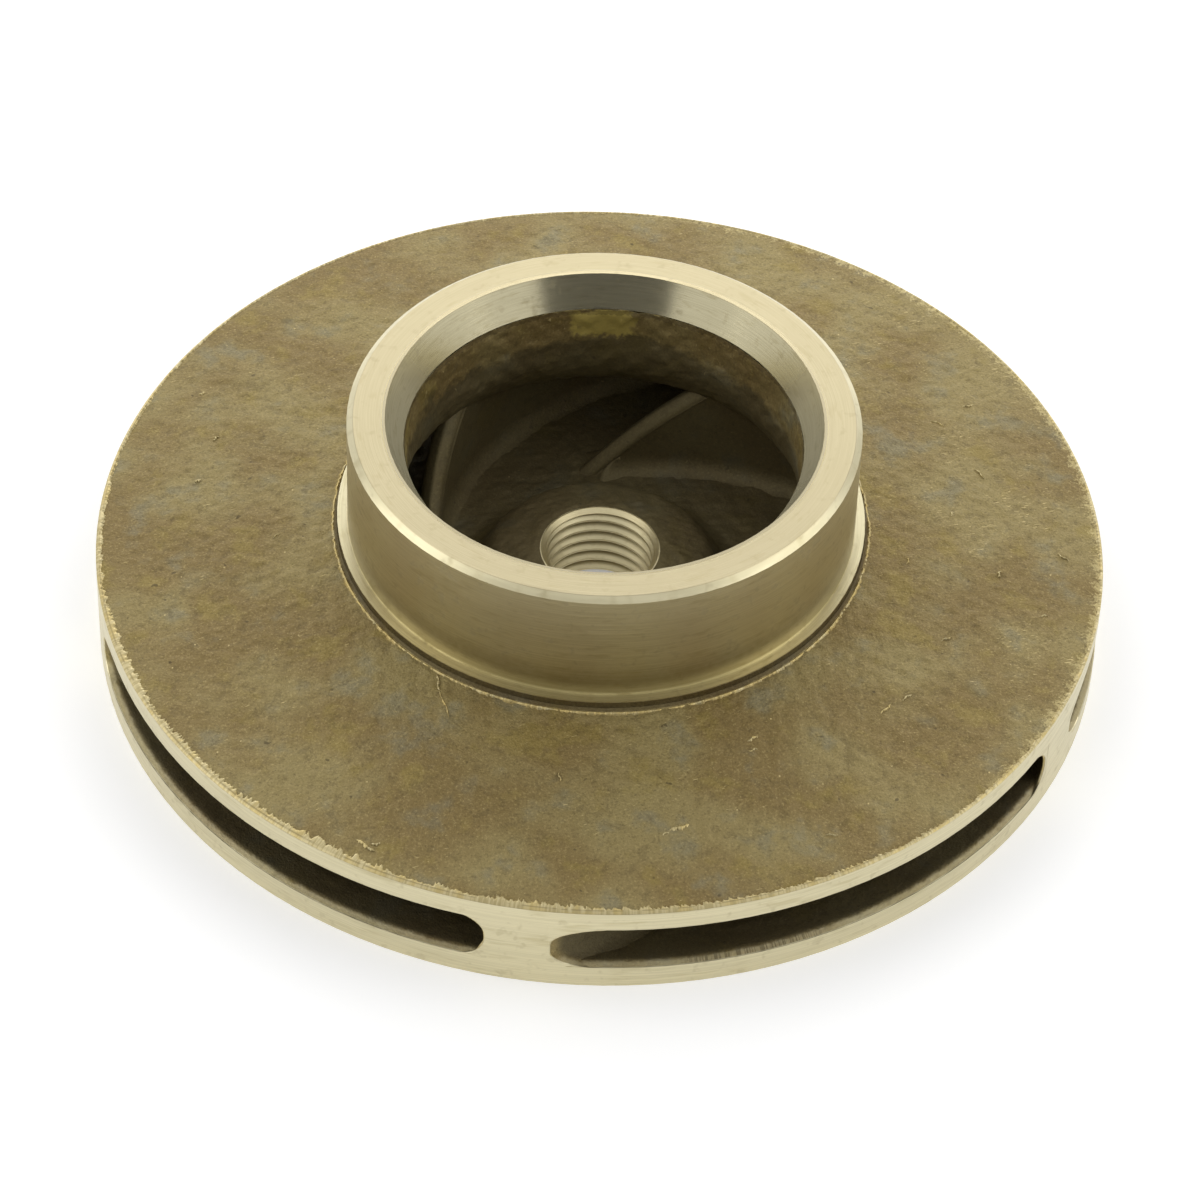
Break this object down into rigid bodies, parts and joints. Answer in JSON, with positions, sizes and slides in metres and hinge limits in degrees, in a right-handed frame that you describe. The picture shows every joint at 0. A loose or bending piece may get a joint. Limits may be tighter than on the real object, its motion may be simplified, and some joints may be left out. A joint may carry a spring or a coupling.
{
  "type": "pump impeller",
  "caption": "Closed centrifugal pump impeller cast in bronze, with backswept vanes between two shrouds, a machined wear ring round the eye and a threaded hub bore.",
  "frame": {"origin": "centre of the flat back face, on the shaft axis", "axes": "+Z along the shaft axis from the back face towards the eye, +X radially outwards, +Y completes the right-handed frame; one vane ends on the rim 25.4 degrees clockwise from +X as seen from the eye"},
  "size_m": [0.094, 0.094, 0.0247],
  "materials": {
    "cast_bronze": "sand-cast bronze, dull and mottled, turned bright on the wear ring, the land, the eye's bevel and the rim"
  },
  "bodies": {
    "root": {"impeller": "cast_bronze"}
  },
  "joints": []
}
